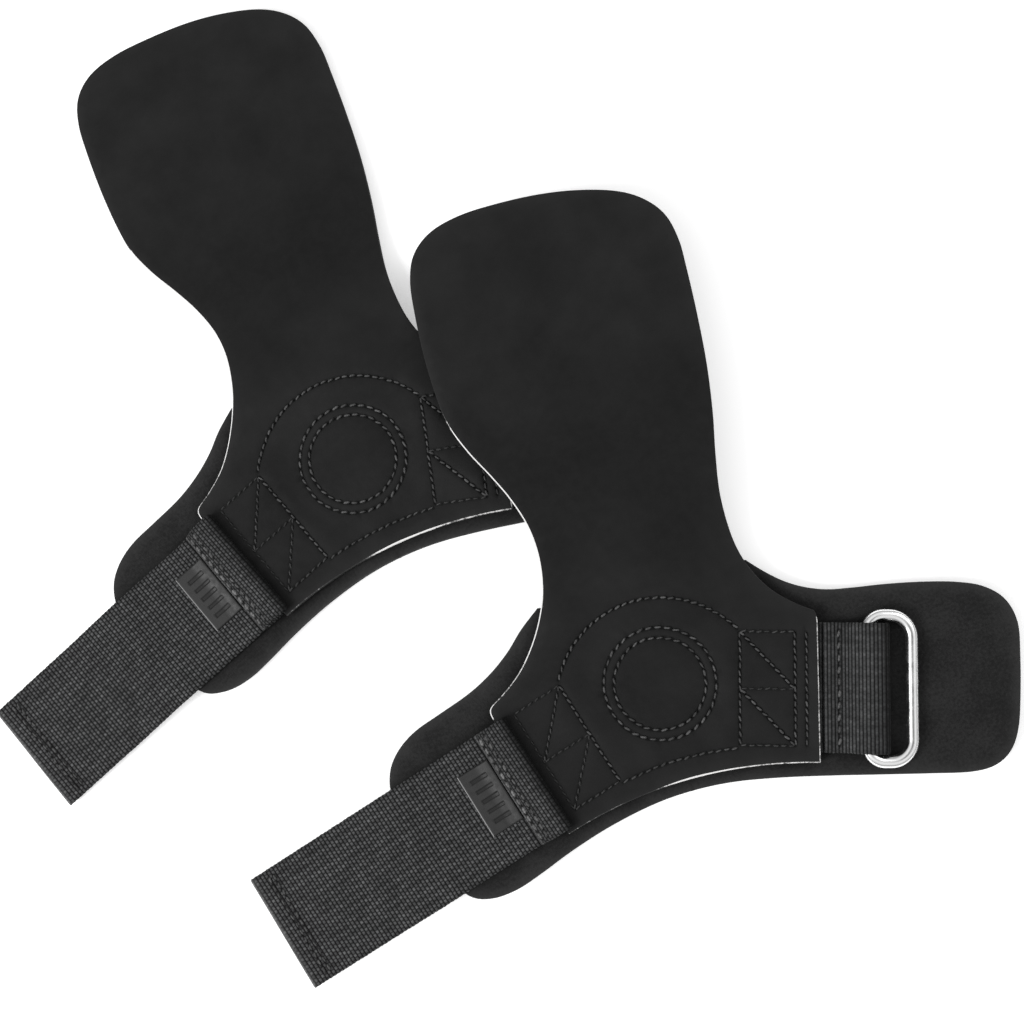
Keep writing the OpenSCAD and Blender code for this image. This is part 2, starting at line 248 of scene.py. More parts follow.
def inside(points, ring):
    """Which of points lie inside a closed ring."""
    out = np.zeros(len(points), bool)
    a, b = ring[None], np.roll(ring, -1, 0)[None]
    for i in range(0, len(points), CHUNK):
        x, y = points[i:i + CHUNK, 0:1], points[i:i + CHUNK, 1:2]
        spans = (a[..., 1] > y) != (b[..., 1] > y)
        with np.errstate(divide="ignore", invalid="ignore"):
            crossing = a[..., 0] + (y - a[..., 1]) * (b - a)[..., 0] / (b - a)[..., 1]
        out[i:i + CHUNK] = (spans & (x < crossing)).sum(1) % 2 == 1
    return out


def fill(ring, step, extra=None):
    """Triangles inside ring, on an even grid and through the extra points."""
    row_step, from_ring, extra_from_ring, from_extra = step * 0.866, step * 0.55, 0.45, 0.6
    low, high = ring.min(0), ring.max(0)
    rows = []
    for k, y in enumerate(np.arange(low[1], high[1], row_step)):
        x = np.arange(low[0] + (k % 2) * step / 2, high[0], step)
        rows.append(np.column_stack([x, np.full(len(x), y)]))
    grid = np.concatenate(rows)
    grid = grid[inside(grid, ring)]
    grid = grid[distance(grid, ring) >= from_ring]
    if extra is not None:
        extra = extra[inside(extra, ring)]
        extra = extra[distance(extra, ring) >= extra_from_ring]
        grid = grid[distance(grid, extra) >= min(step, 1.6) * from_extra]
        grid = np.vstack([extra, grid])
    points = np.vstack([ring, grid])
    _, _, tris, origin, _, _ = delaunay_2d_cdt(
        [Vector(p) for p in points], [], [list(range(len(ring)))], 1, 1e-5)
    origin = [o[0] if o else -1 for o in origin]
    tris = [[origin[i] for i in t] for t in tris]
    return points, [t for t in tris if -1 not in t and len(set(t)) == 3]


def lattice(rows, cols, close_rows=False, close_cols=True):
    """The quads of a lattice of rows by cols points, as an array of point numbers."""
    i, j = np.mgrid[:rows - (not close_rows), :cols - (not close_cols)].reshape(2, -1)
    under, beside = (i + 1) % rows, (j + 1) % cols
    return np.stack([i * cols + j, i * cols + beside, under * cols + beside, under * cols + j], 1)


def end_caps(rows, cols):
    """The two end faces of an open tube of rows of cols points."""
    return [range(cols)[::-1], range((rows - 1) * cols, rows * cols)]


def plate(s, n, high, low):
    """Points and faces of a closed plate over a grid of places, between two grids of heights."""
    rows, cols = s.shape
    number = np.arange(s.size).reshape(rows, cols)
    rim = np.concatenate([number[:, 0], number[-1, 1:], number[-2::-1, -1], number[0, -2:0:-1]])
    quads = lattice(rows, cols, close_cols=False)
    faces = list(quads) + list(quads[:, ::-1] + s.size)
    faces += [(a, b, b + s.size, a + s.size) for a, b in zip(rim, np.roll(rim, -1))]
    return np.concatenate([np.stack([s, n, z], -1).reshape(-1, 3) for z in (high, low)]), faces


def outward(ring):
    """The outward direction at each point of a counter-clockwise ring."""
    t = np.roll(ring, -1, 0) - np.roll(ring, 1, 0)
    n = np.stack([t[:, 1], -t[:, 0]], 1)
    return n / np.maximum(np.linalg.norm(n, axis=1), 1e-9)[:, None]


def slab(ring, top, bottom, step, round_top, round_low, extra=None, low_step=None, seam=None):
    """A closed plate over ring (counter-clockwise). top and bottom give heights at points;
    round_top and round_low are (width, height) of the rounded edges, the width maybe one for
    each ring point. Ring points on the seam keep their x.
    Returns points, faces, and for each face 0 for a face and 1 for the edge."""
    n = len(ring)
    n_out = outward(ring)
    if seam is not None:
        ends = seam & ~(np.roll(seam, 1) & np.roll(seam, -1))
        n_out[seam] = 0
        n_out[ends, 1] = np.sign(ring[ends, 1] - ring[seam, 1].mean())
    rings = []
    for heights, (width, depth), sign, angles in ((top, round_top, -1, (0, 30, 60, 90)),
                                                  (bottom, round_low, 1, (90, 45, 0))):
        for t in np.radians(angles):
            inset = np.broadcast_to(width, (n,)) * (1 - math.sin(t))
            p = ring - n_out * inset[:, None]
            rings.append((p, heights(p) + sign * depth * (1 - math.cos(t))))
    verts = [np.column_stack([p, z]) for p, z in rings]
    faces = list(lattice(len(rings), n)[:, FLIPPED])
    kind = [1] * len(faces)
    count, last = len(rings) * n, len(rings) - 1
    for k, heights, grid_step, points, order in (
            (0, top, step, extra, 1),
            (last, bottom, low_step or step, None if low_step else extra, -1)):
        p, tris = fill(rings[k][0], grid_step, points)
        inner = p[n:]
        verts.append(np.column_stack([inner, heights(inner)]))
        number = np.concatenate([k * n + np.arange(n), count + np.arange(len(inner))])
        faces += list(number[np.array(tris)][:, ::order])
        kind += [0] * len(tris)
        count += len(inner)
    return np.vstack(verts), faces, kind


def ribbon(path, mid, thick, lift, seed, skew):
    """Webbing swept along path, rows of (s, z). lift(a) is the weave's height at length a along
    the path, and skew slants its ribs. Returns points (s, n, z), faces and lay (a, n, side)."""
    edge, across_step, wander = 0.7, 0.5, 0.11
    cols = np.linspace(-HALF_WEB, HALF_WEB, int(round(2 * HALF_WEB / across_step)) + 1)
    over = np.clip((np.abs(cols) - (HALF_WEB - edge)) / edge, 0, 1)
    body = np.sqrt(np.maximum(1 - over * over * 0.97, 0.0))
    aa, nn = np.meshgrid(along(path), cols, indexing="ij")
    edge_line = 0.4 * rough_noise(aa, 0 * aa, 5, seed) + 0.5 * np.sin(aa * math.tau / EDGE_LOOP)
    wob = wander * edge_line * np.sign(nn) * np.clip(np.abs(nn) / HALF_WEB, 0, 1) ** 8
    weft = aa + skew * nn
    height = (thick / 2 + lift(weft)) * body[None, :]
    up = normals(path)
    verts, lays = [], []
    for side in (1, -1):
        s, z = (path[:, k, None] + up[:, k, None] * height * side for k in (0, 1))
        verts.append(np.stack([s, nn + mid + wob, z], -1)[:, ::side])
        lays.append(np.stack([weft, nn, np.full(aa.shape, float(side))], -1)[:, ::side])
    v, lay = np.concatenate(verts, 1), np.concatenate(lays, 1)
    rows, c = v.shape[:2]
    faces = list(lattice(rows, c)[:, FLIPPED])
    for first, order in ((0, 1), ((rows - 1) * c, -1)):
        for j in range(c // 2 - 1):
            faces.append((first + j, first + j + 1, first + c - 2 - j, first + c - 1 - j)[::order])
    return v.reshape(-1, 3), faces, lay.reshape(-1, 3)


def tube(centres, r, sides, closed=False):
    """Points and faces of a round tube through centres (x, y, z); r may be one for each."""
    c = np.asarray(centres, float)
    t = np.roll(c, -1, 0) - np.roll(c, 1, 0) if closed else np.gradient(c, axis=0)
    t /= np.linalg.norm(t, axis=1)[:, None]
    u = np.cross(t, (0, 0, 1.0))
    u /= np.maximum(np.linalg.norm(u, axis=1), 1e-9)[:, None]
    w = np.cross(t, u)
    a = np.linspace(0, math.tau, sides, endpoint=False)[None, :, None]
    radius = (r * np.ones(len(c)))[:, None, None]
    v = c[:, None] + radius * (np.cos(a) * u[:, None] + np.sin(a) * w[:, None])
    faces = list(lattice(len(c), sides, close_rows=closed))
    return v.reshape(-1, 3), faces + ([] if closed else end_caps(len(c), sides))


STITCH_ROWS = np.array([-1.0, -0.86, -0.5, 0.0, 0.5, 0.86, 1.0])
STITCH_SIDES = 7


def stitches(spans, radius, z_at, bow=0.16, sink=0.22, seed=3, showing=None, slant=0.0):
    """Short threads, each from one point of spans to the other, bowed up between its holes.
    showing is how plainly each one shows, and slant turns them off their row."""
    r = random.Random(seed)
    verts, faces, lays, lit = [], [], [], []
    shape = np.sqrt(np.maximum(1 - STITCH_ROWS ** 6, 0.02))
    for k, (a, b) in enumerate(spans):
        shown = showing[k] if showing else 1.0
        jit = np.array([r.uniform(-0.11, 0.11), r.uniform(-0.11, 0.11)])
        mid, half = (a + b) / 2 + jit, (b - a) / 2 * r.uniform(0.92, 1.05)
        turned = slant + r.uniform(-0.19, 0.19)
        half = half + turned * np.array([-half[1], half[0]])
        xy = mid + STITCH_ROWS[:, None] * half
        lift = bow * (1 - STITCH_ROWS ** 2) - sink * STITCH_ROWS ** 4 + r.uniform(-0.02, 0.02)
        centres = np.column_stack([xy, z_at(xy) + lift])
        size = radius * r.uniform(0.8, 1.18) * (0.6 + 0.4 * shown)
        v, f = tube(centres, size * shape, STITCH_SIDES)
        base = len(lays) * len(v)
        faces += [tuple(i + base for i in q) for q in f]
        verts.append(v)
        lit.append(np.full(len(v), shown * r.uniform(0.62, 1.12)))
        twist = np.repeat(STITCH_ROWS * np.linalg.norm(half), STITCH_SIDES)
        lays.append(np.column_stack([twist, np.full(len(twist), r.uniform(0, 50)),
                                     np.tile(np.arange(STITCH_SIDES) / STITCH_SIDES,
                                             len(STITCH_ROWS))]))
    return np.vstack(verts), faces, np.vstack(lays), {"lit": np.concatenate(lit)}


def dashes(line, pitch, share=0.74):
    """Stitch spans at an even pitch along a polyline; share is how much of the pitch each takes."""
    s = along(line)
    n = max(1, int(round(s[-1] / pitch)))
    step = s[-1] / n
    ends = (np.arange(n) + 0.5)[:, None] * step + np.array([-1, 1]) * (step * share / 2)
    return list(np.stack([np.interp(ends, s, line[:, k]) for k in (0, 1)], -1))


# ---- materials
def grey(v, warm=0.0):
    return (v * (1 + warm), v, v * (1 - warm), 1)


class Shader:
    """One Principled material with short calls for its nodes. Plain numbers sit on sockets."""

    def __init__(self, name, base=grey(0.5), rough=0.6, spec=0.5, metal=0.0,
                 sheen=0.0, sheen_rough=0.5):
        self.mat = bpy.data.materials.new(name)
        self.mat.use_nodes = True
        self.tree = self.mat.node_tree
        self.b = self.tree.nodes["Principled BSDF"]
        for socket, value in (("Base Color", base), ("Roughness", rough), ("Metallic", metal),
                              ("Specular IOR Level", spec), ("Sheen Weight", sheen),
                              ("Sheen Roughness", sheen_rough)):
            self.b.inputs[socket].default_value = value
        self.lay = self.attribute("lay", "Vector")

    def node(self, kind, **sets):
        n = self.tree.nodes.new(kind)
        for k, v in sets.items():
            setattr(n, k, v)
        return n

    def put(self, socket, value):
        if isinstance(value, bpy.types.NodeSocket):
            self.tree.links.new(value, socket)
        else:
            socket.default_value = value

    def fill_in(self, node, *values):
        """A node with its first inputs set."""
        for socket, value in zip(node.inputs, values):
            self.put(socket, value)
        return node

    def attribute(self, name, out="Fac"):
        return self.node("ShaderNodeAttribute", attribute_name=name).outputs[out]

    def math(self, op, a, b=0.0):
        return self.fill_in(self.node("ShaderNodeMath", operation=op), a, b).outputs[0]

    def add(self, a, b):
        return self.math("ADD", a, b)

    def mul(self, a, b):
        return self.math("MULTIPLY", a, b)

    def total(self, *terms):
        """The sum of (value, weight) pairs."""
        out = self.mul(*terms[0])
        for term in terms[1:]:
            out = self.add(out, self.mul(*term))
        return out

    def from_middle(self, value):
        """How far a value is from the middle between two whole numbers."""
        return self.math("ABSOLUTE", self.add(self.math("FRACT", value), -0.5))

    def noise(self, scale, detail=4.0, rough=0.55, stretch=None):
        v = self.lay
        if stretch:
            v = self.fill_in(self.node("ShaderNodeVectorMath", operation="MULTIPLY"),
                             v, stretch).outputs[0]
        n = self.node("ShaderNodeTexNoise")
        for socket, value in (("Vector", v), ("Scale", scale), ("Detail", detail),
                              ("Roughness", rough)):
            self.put(n.inputs[socket], value)
        return n.outputs["Fac"]

    def cells(self, scale):
        n = self.node("ShaderNodeTexVoronoi")
        self.put(n.inputs["Vector"], self.lay)
        n.inputs["Scale"].default_value = scale
        return n.outputs["Distance"]

    def span(self, value, low, high, to_low=0.0, to_high=1.0):
        """A value from low to high, eased to run from to_low to to_high."""
        n = self.node("ShaderNodeMapRange", interpolation_type="SMOOTHSTEP")
        return self.fill_in(n, value, low, high, to_low, to_high).outputs["Result"]

    def mix(self, share, a, b):
        n = self.node("ShaderNodeMix", data_type="RGBA")
        self.put(n.inputs["Factor"], share)
        for socket, value in zip([s for s in n.inputs if s.type == "RGBA"], (a, b)):
            self.put(socket, value)
        return [s for s in n.outputs if s.type == "RGBA"][0]

    def tint(self, colour, name, other, share=1.0):
        """A colour turned towards another where the attribute called name says."""
        return self.mix(self.mul(self.attribute(name), share), colour, other)

    def parts(self):
        return self.fill_in(self.node("ShaderNodeSeparateXYZ"), self.lay).outputs

    def finish(self, colour, height=None, depth_mm=0.0, strength=1.0, rough=None):
        """The material, with its colour, its bump from height and maybe a varied roughness."""
        self.put(self.b.inputs["Base Color"], colour)
        if rough is not None:
            self.put(self.b.inputs["Roughness"], rough)
        if height is not None:
            n = self.node("ShaderNodeBump")
            n.inputs["Strength"].default_value = strength
            n.inputs["Distance"].default_value = depth_mm * MM
            self.put(n.inputs["Height"], height)
            self.put(self.b.inputs["Normal"], n.outputs[0])
        return self.mat


def leather():
    m = Shader("leather", rough=0.8, spec=0.2)
    cloud, fine, grain = m.noise(0.045, 5, 0.6), m.noise(0.35, 5, 0.62), m.noise(2.3, 3, 0.6)
    share = m.span(m.total((cloud, 0.55), (fine, 0.3), (grain, 0.15)), 0.36, 0.64)
    dark, light = grey(0.0062), grey(0.0128)
    face = m.mix(share, dark, light)
    face = m.tint(face, "rim", grey(0.021), 0.55)
    # shade: painted shadow beside the band's fold, and darker leather at the waist and inside the
    # circle
    face = m.tint(face, "shade", grey(0.003), 0.75)
    pores = m.span(m.cells(1.15), 0.0, 0.55)
    # hole: painted shade in the needle holes
    return m.finish(m.tint(face, "hole", grey(0.0005)), m.total((grain, 0.6), (pores, 0.4)),
                    0.07, 0.55, rough=m.span(fine, 0.3, 0.7, 0.72, 0.88))


def leather_edge():
    """The raw cut edge: pale core fibres, more or less of them where the edge attribute says; that
    attribute also holds painted light, paler where the edge faces the key light.
    """
    m = Shader("leather_cut_edge", rough=0.85, spec=0.2)
    fibre, speck, pale = m.noise(1.4, 4, 0.65), m.noise(0.45, 3, 0.6), m.attribute("edge")
    share = m.span(m.total((fibre, 0.5), (speck, 0.4), (pale, 0.6)), 0.65, 0.84)
    skin = m.mix(pale, grey(0.012), grey(0.1))
    return m.finish(m.mix(share, skin, grey(0.78, 0.01)), fibre, 0.12, 0.6)


def jersey(name, low, high):
    """A fine knit: wales and courses a little aslant, under a soft nap."""
    m = Shader(name, rough=0.9, spec=0.12, sheen=0.06)
    x, y, _ = m.parts()
    wales = m.math("SINE", m.mul(m.add(x, m.mul(y, 0.28)), 9.0))
    courses = m.math("SINE", m.mul(m.add(y, m.mul(x, -0.28)), 12.0))
    knit = m.mul(m.add(wales, courses), 0.5)
    cloud, nap = m.noise(0.07, 5, 0.6), m.noise(1.1, 4, 0.7)
    face = m.mix(m.span(m.total((cloud, 0.45), (nap, 0.55)), 0.38, 0.62), grey(low), grey(high))
    # edge: painted sheen, lighter along the cuff's rounded rim
    face = m.tint(face, "edge", grey(high * 1.9), 0.6)
    # shade: painted shadow beside the flap and the webbing
    return m.finish(m.tint(face, "shade", grey(0.005), 0.6), m.add(m.mul(knit, 0.35), nap),
                    0.1, 0.6)


def foam(name, base):
    m = Shader(name, rough=0.88, spec=0.2)
    pits = m.cells(2.6)
    tone = m.mix(m.span(pits, 0.0, 0.5), grey(base * 0.6), grey(base * 1.25))
    return m.finish(tone, pits, 0.1, 0.5)


def woven(name, light, even, lines):
    """Webbing: ribs across the length, each a row of floats that alternate from rib to rib.
    even (0 to 1) makes the ribs unbroken; lines is how plainly every other column stands out."""
    m = Shader(f"{name}_weave", rough=0.85, spec=0.06, sheen=0.01)
    a, n, _ = m.parts()
    wander = m.mul(m.add(m.noise(0.3, 3), -0.5), 0.5)
    row = m.math("DIVIDE", m.add(a, m.mul(wander, 0.35)), RIB[name])
    index = m.math("FLOOR", row)
    cell = m.add(m.math("DIVIDE", m.add(n, wander), CELL), m.mul(index, 0.5))
    crown_r = m.span(m.from_middle(row), 0.5, 0.2)
    crown_c = m.add(m.mul(m.span(m.from_middle(cell), 0.5, 0.22), 1 - even), even)
    floats = m.mul(crown_r, crown_c)
    key = m.fill_in(m.node("ShaderNodeCombineXYZ"), index, m.math("FLOOR", cell))
    lot = m.node("ShaderNodeTexWhiteNoise", noise_dimensions="2D")
    m.put(lot.inputs["Vector"], key.outputs[0])
    varied = m.add(0.6, m.mul(lot.outputs["Value"], 0.35))
    worn = m.span(m.noise(0.16, 4, 0.6), 0.34, 0.66, 0.84, 1.08)
    column = m.math("COSINE", m.mul(m.add(n, wander), math.pi / CELL))
    column = m.add(1 - lines / 2, m.mul(column, lines / 2))
    fibre = m.noise(3.0, 3, 0.6, stretch=(2.2, 0.7, 1))
    crown = m.mul(floats, m.mul(varied, m.mul(worn, column)))
    share = m.mul(crown, m.span(fibre, 0.25, 0.7, 0.65, 1.1))
    face = m.mix(share, grey(0.005), grey(light, -0.012))
    frayed = m.mul(m.attribute("frayed"), m.span(fibre, 0.3, 0.6))
    face = m.mix(frayed, face, grey(light * 2.2))
    # shade: painted shade where the webbing turns down, in its needle holes and under the band's
    # end; darker by the loop's seam
    return m.finish(m.tint(face, "shade", grey(0.005), 0.93),
                    m.add(floats, m.mul(fibre, 0.25)), 0.2, 0.9)


def thread(name, base):
    """Twisted thread, each stitch with a tone of its own, with painted shade where it goes into its
    hole.
    """
    m = Shader(name, rough=0.62, spec=0.3, sheen=0.1)
    a, lot, turn = m.parts()
    twist = m.math("SINE", m.total((a, 9.0), (turn, math.tau)))
    tone = m.math("FRACT", lot)
    lit = m.mix(m.span(m.add(m.mul(twist, 0.3), tone), 0.0, 1.2),
                grey(base * 0.55), grey(base * 1.3))
    shade_into_hole = m.span(m.math("ABSOLUTE", a), 0.62, 1.0)
    lit = m.mix(m.attribute("lit"), grey(base * 0.1), lit)
    return m.finish(m.mix(shade_into_hole, lit, grey(base * 0.1)), twist, 0.08, 0.5)


def chrome():
    m = Shader("polished_steel", base=grey(0.86), rough=0.12, metal=1.0)
    haze = m.noise(0.25, 4, 0.6)
    return m.finish(m.mix(haze, grey(0.86), grey(0.96)), m.noise(1.2, 3, 0.6), 0.02, 0.25,
                    rough=m.span(haze, 0.3, 0.7, 0.16, 0.3))


def rubber():
    m = Shader("label_rubber", rough=0.5, spec=0.35)
    tone = m.noise(0.5, 4, 0.6)
    # edge: a painted highlight along the tab's far edge
    face = m.tint(m.mix(tone, grey(0.011), grey(0.021)), "edge", grey(0.32))
    # the sunk bars darkened with painted shade
    return m.finish(m.tint(face, "sunk_in_shade", grey(0.003)), m.noise(2.4, 3, 0.6), 0.05, 0.5,
                    rough=m.span(tone, 0.3, 0.7, 0.42, 0.6))


def pile():
    m = Shader("loop_pile", rough=0.95, spec=0.1, sheen=0.25, sheen_rough=0.4)
    tuft = m.noise(1.6, 5, 0.75)
    return m.finish(m.mix(m.span(tuft, 0.3, 0.7), grey(0.010), grey(0.035)), tuft, 0.35, 0.9)


def hooks():
    m = Shader("hook_tape", rough=0.5, spec=0.4)
    tone = m.noise(0.9, 3)
    return m.finish(m.mix(tone, grey(0.010), grey(0.022)), rough=m.span(tone, 0.3, 0.7, 0.4, 0.6))


CELL = 1.225                    # a cell of the weave, across the webbing
RIB = dict(strap=1.22, band=1.05, loop=1.06)    # the ribs' pitch along it
WEFT_SLANT = -0.04              # the strap's ribs lie a little aslant
M = dict(
    leather=leather(), edge=leather_edge(),
    face=jersey("jersey_face", 0.0088, 0.0215), lining=jersey("jersey_lining", 0.010, 0.021),
    foam=foam("neoprene_foam", 0.012), pad=foam("pad_foam", 0.014),
    strap=woven("strap", 0.134, even=0.2, lines=0.45),
    band=woven("band", 0.119, even=0.28, lines=0.4),
    loop=woven("loop", 0.101, even=0.75, lines=0.25),
    thread=thread("thread", 0.08), seam_thread=thread("webbing_thread", 0.085),
    end_thread=thread("strap_end_thread", 0.075), band_thread=thread("band_thread", 0.165),
    steel=chrome(), label=rubber(), pile=pile(), hook=hooks())


# ---- outlines
def flap_outline():
    stretch = PADDLE_LEN / (DRAWN_TOP - PADDLE_FOLD)
    pts = [(x, y if y < PADDLE_FOLD else PADDLE_FOLD + (y - PADDLE_FOLD) * stretch)
           for x, y in FLAP_POINTS]
    a0 = 90 + math.degrees(math.asin(HEM_LEFT / HEM_R))
    a1 = 90 - math.degrees(math.asin(HEM_RIGHT / HEM_R))
    ring = resample(np.vstack([smooth(pts), arc(HEM_C, HEM_R, a0, a1, 40)]), 1.0, closed=True)
    for corner, reach in ((FLAP_POINTS[-1], 3.6), (ring[-1].copy(), 1.6)):
        close = np.linalg.norm(ring - corner, axis=1) < reach
        for _ in range(6):
            eased_ring = (np.roll(ring, 1, 0) + np.roll(ring, -1, 0)) / 2
            ring[close] = (ring[close] + eased_ring[close]) / 2
    return ring


def half_cuff(side):
    """The cuff's outline on one side of x = 0 (1 is the right), counter-clockwise, and which
    points are on x = 0."""
    ring, step = CUFF_RING[::-1], 1.4
    out, first = [], 0
    for a, b in zip(ring, np.roll(ring, -1, 0)):
        ina, inb = a[0] * side > 0, b[0] * side > 0
        if ina:
            out.append(a)
        if ina != inb:
            t = a[0] / (a[0] - b[0])
            if inb:
                first = len(out)
            out.append(np.array([0.0, a[1] + (b[1] - a[1]) * t]))
    outer = resample(np.roll(np.array(out), -first, axis=0), step)
    closing = resample(np.array([outer[-1], outer[0]]), step)[1:-1]
    ring = np.vstack([outer, closing])
    return ring, np.abs(ring[:, 0]) < 1e-6


def line(a, b, lay=plain, step=0.5):
    return resample(lay(np.array([a, b], float)), step)


def across(s, lay, half, pitch, share):
    """Stitch spans in a row straight across a lobe's webbing."""
    return dashes(np.array([(s, MIDDLE[lay] - half), (s, MIDDLE[lay] + half)]), pitch, share)


BOX_Y = (-17.7, -1.2, 15.6)
BOX_W, RIGHT_BOX, LEFT_BOX, EXTRA_ROW = 16.0, 23.4, 25.6, 42.7
BOX_PITCH = 2.2


def box_rows(x0, lay, strength):
    """A box of rows with a diagonal in each half. strength is how plainly each row shows."""
    x1 = x0 + BOX_W
    low, middle, high = BOX_Y
    ends = [((x0, low), (x0, high)), ((x1, low), (x1, high)), ((x0, low), (x1, low)),
            ((x0, middle), (x1, middle)), ((x0, high), (x1, high)),
            ((x0, high), (x1, middle)), ((x0, middle), (x1, low))]
    return [(line(a, b, lay), BOX_PITCH, s) for (a, b), s in zip(ends, strength)]


def flap_rows():
    """Every stitched row on the flap, as (polyline, pitch, how plainly it shows)."""
    rows = [(arc((0, 0), 16.6, 90, 450, 200), 2.75, 1.0),
            (arc((0, 0), 13.6, 90, 450, 170), 2.6, 0.9),
            (arc((-1.1, -5.9), 31.4, 28.3, 151.7, 120), 2.35, 0.85),
            (arc((0.5, -121.8), 98.8, 80.5, 101.3, 64), 2.35, 0.6)]
    rows += box_rows(RIGHT_BOX, right, (0.75, 0.8, 0.4, 0.25, 0.45, 0.95, 0.95))
    rows += box_rows(LEFT_BOX, left, (0.85, 0.05, 0.4, 0.22, 0.25, 0.5, 0.38))
    extra = line((EXTRA_ROW, BOX_Y[0]), (EXTRA_ROW, BOX_Y[2]), right)
    return rows + [(extra, BOX_PITCH, 0.7)]


FLAP_RING = flap_outline()
CUFF_RING = np.vstack([smooth(CUFF_POINTS), CUFF_TOP])
ROWS = flap_rows()
ROW_POINTS = np.vstack([r for r, _, _ in ROWS])
SPANS = [s for r, pitch, _ in ROWS for s in dashes(r, pitch)]
SHOWING = [k for r, pitch, k in ROWS for _ in dashes(r, pitch)]
HOLES = np.array([p for s in SPANS for p in s])
HOLE_DEPTH = np.repeat(0.15 + 0.85 * np.array(SHOWING), 2)


def beside_rows():
    """Extra mesh points on each stitched row, close beside it and round each needle hole."""
    rim_r, row_step, aside, grid = 0.5, 1.3, 0.85, 0.4
    rim = rim_r * np.array([(math.cos(a), math.sin(a)) for a in np.arange(0, 6) * math.pi / 3])
    out = [HOLES, (HOLES[:, None] + rim[None]).reshape(-1, 2)]
    for r, _, _ in ROWS:
        p = resample(r, row_step)
        out += [p, p + normals(p) * aside, p - normals(p) * aside]
    kept = {}
    for p in np.vstack(out):
        kept.setdefault((round(p[0] / grid), round(p[1] / grid)), p)
    return np.array(list(kept.values()))


def fold_rows(start, end, lay):
    """Extra mesh points in the strip of a lobe that bends."""
    step, n_step, half = 0.95, 2.4, 42
    s, n = np.meshgrid(np.arange(start, end, step), np.arange(-half, half, n_step), indexing="ij")
    n = n + (np.arange(len(s)) % 2)[:, None] * n_step / 2
    return lay(np.stack([s.ravel(), n.ravel()], 1))


# ---- pieces and the frame
BENDS = {  # the bodies it joins, its frame, where it starts and where the piece is straight again
    "left_fold": ("cuff", "left_lobe", left, LEFT_FOLD, LEFT_BEND),
    "right_fold": ("cuff", "right_lobe", right, RIGHT_FOLD, RIGHT_BEND),
    "strap_fold": ("left_lobe", "strap", left, STRAP_FOLD, STRAP_BEND),
    "paddle_fold": ("cuff", "paddle", upward, PADDLE_FOLD, PADDLE_FOLD + PADDLE_CURL)}


def piece(grip, name, verts, faces, materials, nodes, on, lay, extra=None, kinds=None,
          sharp=None):
    """A smooth piece of a grip in place of its CAD nodes. verts are the grip's millimetres, lay
    is where each lies on the piece itself, for the materials, and extra holds more values per
    vertex. kinds are the faces' materials, and on is the body it rides; a piece on a bend only
    has its transform baked."""
    mesh = bpy.data.meshes.new(f"{grip}_{name}")
    mesh.from_pydata([tuple(v) for v in to_world(grip, verts)], [],
                     [tuple(int(i) for i in f) for f in faces])
    for key in materials.split():
        mesh.materials.append(M[key])
    mesh.polygons.foreach_set("use_smooth", np.ones(len(mesh.polygons), bool))
    if kinds is not None:
        mesh.polygons.foreach_set("material_index", np.asarray(kinds, np.int32))
    full = np.zeros((len(verts), 3), np.float32)
    full[:, :lay.shape[1]] = lay
    mesh.attributes.new("lay", "FLOAT_VECTOR", "POINT").data.foreach_set("vector", full.ravel())
    for key, values in (extra or {}).items():
        mesh.attributes.new(key, "FLOAT", "POINT").data.foreach_set(
            "value", np.asarray(values, np.float32))
    obj = in_scene(mesh.name, mesh)
    if sharp:
        mesh.set_sharp_from_angle(angle=math.radians(sharp))
    face_outwards(mesh)

    if nodes:
        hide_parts(*(f"{grip}_{node}" for node in nodes.split()))
    if on in BENDS:
        inner, outer, frame_of, *ends = BENDS[on]
        start, end = (tuple(to_world(grip, frame_of(np.array([s, 0.0, 0.0])))) for s in ends)
        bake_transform(obj)
    else:
        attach(obj, f"{grip}_{on}")
    return obj


def sew(grip, name, material, nodes, on, lay, spans, radius, z_at, reseed, **look):
    """A piece of stitches along spans in a frame of the grip."""
    v, f, own, lit = stitches(spans, radius, z_at, seed=GRIPS[grip]["seed"] + reseed, **look)
    piece(grip, name, lay(v), f, material, nodes, on, own, lit)


def needle_hole_shade(spans, radius):
    """Painted shade in the needle holes: 1 at each end of the stitches in spans, fading over
    radius, for points (s, n, z).
    """
    ends = np.array([p for span in spans for p in span])
    return lambda v: np.exp(-(distance(v, ends) / radius) ** 2)


def strip(grip, name, path, thick, material, nodes, on, held, rests_on, relief=0.11,
          skew=0.0, **paints):
    """A webbing piece along path on a lobe. Each of paints gives an attribute at points."""
    lay = BENDS[on][2]
    rib = RIB[material]
    lift = lambda a: -relief * (0.5 + 0.5 * np.cos(math.tau * a / rib))
    v, f, own = ribbon(path, MIDDLE[lay], thick, lift, GRIPS[grip]["seed"], skew)
    obj = piece(grip, name, lay(v), f, material, nodes, on, own,
                {key: paint(v) for key, paint in paints.items()})


# ---- the flap
GROOVE_DEPTH, GROOVE_R = 0.22, 0.8      # the groove that a row of stitches pulls in
PIT_DEPTH, PIT_R = 0.9, 0.44            # a needle hole


def beside_web(p, lay):
    """How far along a lobe each point is, and how far out past the edge of its webbing."""
    q = np.array(p, float)
    if lay is left:
        q = q * np.array([-1, 1])
    q = turn2(q, DROOP)
    return q[:, 0], np.abs(q[:, 1] - MIDDLE[lay]) - HALF_WEB


def covered(p):
    """1 where webbing or the pad lies under the leather, easing to 0 where nothing does."""
    out = 1 - ease((np.linalg.norm(p, axis=1) - 14) / 9)
    for lay, start in ((right, 21), (left, 23.5)):
        s, past = beside_web(p, lay)
        out = np.maximum(out, (1 - ease((past + 1) / 8)) * ease((s - start + 9) / 9))
    return np.maximum(out, ease((p[:, 1] - 15) / 10))


